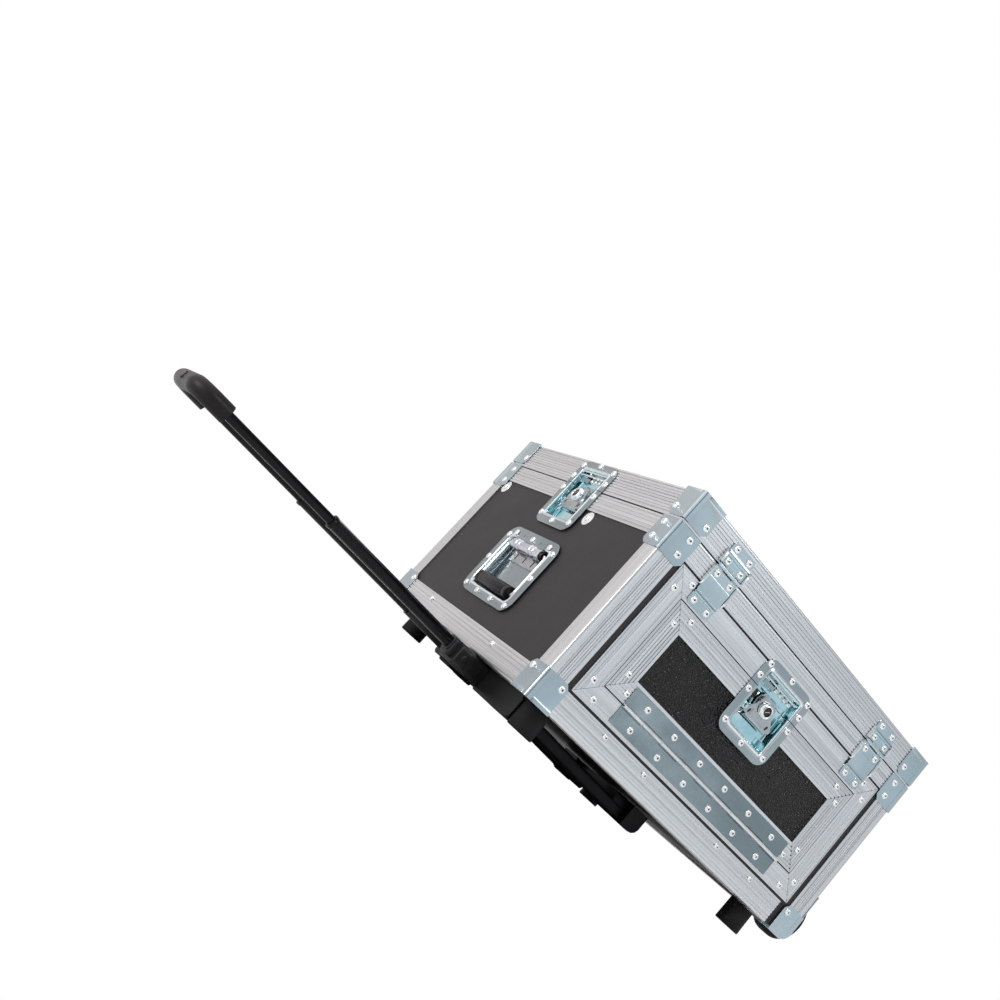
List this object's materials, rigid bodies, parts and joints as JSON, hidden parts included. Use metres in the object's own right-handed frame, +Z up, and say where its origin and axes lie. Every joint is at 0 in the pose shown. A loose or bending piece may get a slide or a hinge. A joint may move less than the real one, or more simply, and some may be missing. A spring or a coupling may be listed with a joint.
{
  "type": "equipment rack case",
  "caption": "Aluminium-edged flight case for rack equipment, with a hinged lid, a small access door, recessed latches and handles, edge wheels and a telescopic trolley handle.",
  "frame": {"origin": "middle of the overall box at rest, on the surface the feet stand on, with the trolley handle drawn out", "axes": "+X from the trolley handle towards the wheels, +Y from the door face towards the back, +Z up"},
  "size_m": [1.0434, 0.512, 0.3478],
  "materials": {
    "laminate": "plywood with a smooth charcoal laminate face",
    "pebble": "plywood with a black pebbled laminate face",
    "aluminium": "finely grooved anodised extrusion",
    "zinc": "bright blue-passivated zinc plate",
    "hinge_steel": "dull mottled zinc plate",
    "rubber": "matt black rubber",
    "plastic": "satin black moulding",
    "gloss": "gloss black tube"
  },
  "bodies": {
    "case": {"floor_panel": "laminate", "left_panel": "laminate", "right_panel": "laminate", "back_panel": "laminate", "door_wall_panel": "laminate", "body_frame": "aluminium", "wheel_end_sill": "aluminium", "door_surround": "aluminium", "lower_corner_left_front": "zinc", "lower_corner_left_rear": "zinc", "lower_corner_right_front": "zinc", "lower_corner_right_rear": "zinc", "upper_corner_left_front": "zinc", "upper_corner_left_rear": "zinc", "upper_corner_right_front": "zinc", "upper_corner_right_rear": "zinc", "piano_hinge_wall_leaf": "hinge_steel", "lid_hinge_body_leaf_left": "zinc", "lid_hinge_body_leaf_right": "zinc", "latch_dish_left": "zinc", "latch_dish_right": "zinc", "latch_keeper_door": "zinc", "handle_dish_left": "zinc", "handle_dish_right": "zinc", "foot_left_front": "rubber", "foot_left_rear": "rubber", "foot_right_front": "rubber", "foot_right_rear": "rubber", "rack_rail_left": "zinc", "rack_rail_right": "zinc", "trolley_base": "plastic"},
    "lid": {"lid_panel": "laminate", "lid_frame": "aluminium", "lid_corner_left_front": "zinc", "lid_corner_left_rear": "zinc", "lid_corner_right_front": "zinc", "lid_corner_right_rear": "zinc", "lid_hinge_lid_leaf_left": "zinc", "lid_hinge_lid_leaf_right": "zinc", "latch_keeper_left": "zinc", "latch_keeper_right": "zinc"},
    "door": {"door_frame": "aluminium", "door_panel": "pebble", "piano_hinge_door_leaf": "hinge_steel", "latch_dish_door": "zinc"},
    "wheel_front": {"wheel_front": "rubber"},
    "wheel_rear": {"wheel_rear": "rubber"},
    "handle_left": {"handle_grip_left": "rubber"},
    "handle_right": {"handle_grip_right": "rubber"},
    "trolley_mid": {"trolley_mid_tube_front": "gloss", "trolley_mid_tube_rear": "gloss"},
    "trolley_top": {"trolley_top_stage": "gloss", "trolley_grip": "rubber"},
    "release_button": {"release_button": "plastic"},
    "latch_left_rotor": {"latch_rotor_left": "zinc"},
    "latch_left_wing": {"latch_wing_left": "zinc"},
    "latch_right_rotor": {"latch_rotor_right": "zinc"},
    "latch_right_wing": {"latch_wing_right": "zinc"},
    "latch_door_rotor": {"latch_rotor_door": "zinc"},
    "latch_door_wing": {"latch_wing_door": "zinc"}
  },
  "joints": [
    {"name": "lid_hinge", "type": "hinge", "parent": "case", "child": "lid", "pos_m": [0.22071, -0.25175, 0.3028], "axis": [1, 0, 0], "range_deg": [0, 100]},
    {"name": "door_hinge", "type": "hinge", "parent": "case", "child": "door", "pos_m": [0.22071, -0.25055, 0.105], "axis": [1, 0, 0], "range_deg": [0, 125]},
    {"name": "latch_left_turn", "type": "hinge", "parent": "case", "child": "latch_left_rotor", "pos_m": [-0.05429, 0.00245, 0.289], "axis": [-1, 0, 0], "range_deg": [0, 180]},
    {"name": "latch_left_wing_fold", "type": "hinge", "parent": "latch_left_rotor", "child": "latch_left_wing", "pos_m": [-0.05109, 0.00245, 0.301], "axis": [0, 1, 0], "range_deg": [0, 85]},
    {"name": "latch_right_turn", "type": "hinge", "parent": "case", "child": "latch_right_rotor", "pos_m": [0.49571, 0.00245, 0.289], "axis": [1, 0, 0], "range_deg": [0, 180]},
    {"name": "latch_right_wing_fold", "type": "hinge", "parent": "latch_right_rotor", "child": "latch_right_wing", "pos_m": [0.49251, 0.00245, 0.301], "axis": [0, -1, 0], "range_deg": [0, 85]},
    {"name": "latch_door_turn", "type": "hinge", "parent": "door", "child": "latch_door_rotor", "pos_m": [0.22071, -0.24755, 0.226], "axis": [0, -1, 0], "range_deg": [0, 180]},
    {"name": "latch_door_wing_fold", "type": "hinge", "parent": "latch_door_rotor", "child": "latch_door_wing", "pos_m": [0.22071, -0.24435, 0.238], "axis": [-1, 0, 0], "range_deg": [0, 85]},
    {"name": "handle_left_swing", "type": "hinge", "parent": "case", "child": "handle_left", "pos_m": [-0.05229, 0.00245, 0.188], "axis": [0, 1, 0], "range_deg": [0, 90], "stiffness_Nm_per_rad": 0.3},
    {"name": "handle_right_swing", "type": "hinge", "parent": "case", "child": "handle_right", "pos_m": [0.49371, 0.00245, 0.188], "axis": [0, -1, 0], "range_deg": [0, 90], "stiffness_Nm_per_rad": 0.3},
    {"name": "wheel_front_spin", "type": "hinge", "parent": "case", "child": "wheel_front", "pos_m": [0.48371, -0.22005, 0.0655], "axis": [0, 1, 0], "continuous": true},
    {"name": "wheel_rear_spin", "type": "hinge", "parent": "case", "child": "wheel_rear", "pos_m": [0.48371, 0.22495, 0.0655], "axis": [0, 1, 0], "continuous": true},
    {"name": "trolley_mid_slide", "type": "slide", "parent": "case", "child": "trolley_mid", "axis": [0.9994, 0, -0.034], "range_m": [0, 0.208]},
    {"name": "trolley_top_slide", "type": "slide", "parent": "trolley_mid", "child": "trolley_top", "axis": [0.9994, 0, -0.034], "range_m": [0, 0.163]},
    {"name": "release_button_press", "type": "slide", "parent": "trolley_top", "child": "release_button", "axis": [0.9994, 0, -0.034], "range_m": [0, 0.0025], "stiffness_N_per_m": 300}
  ]
}
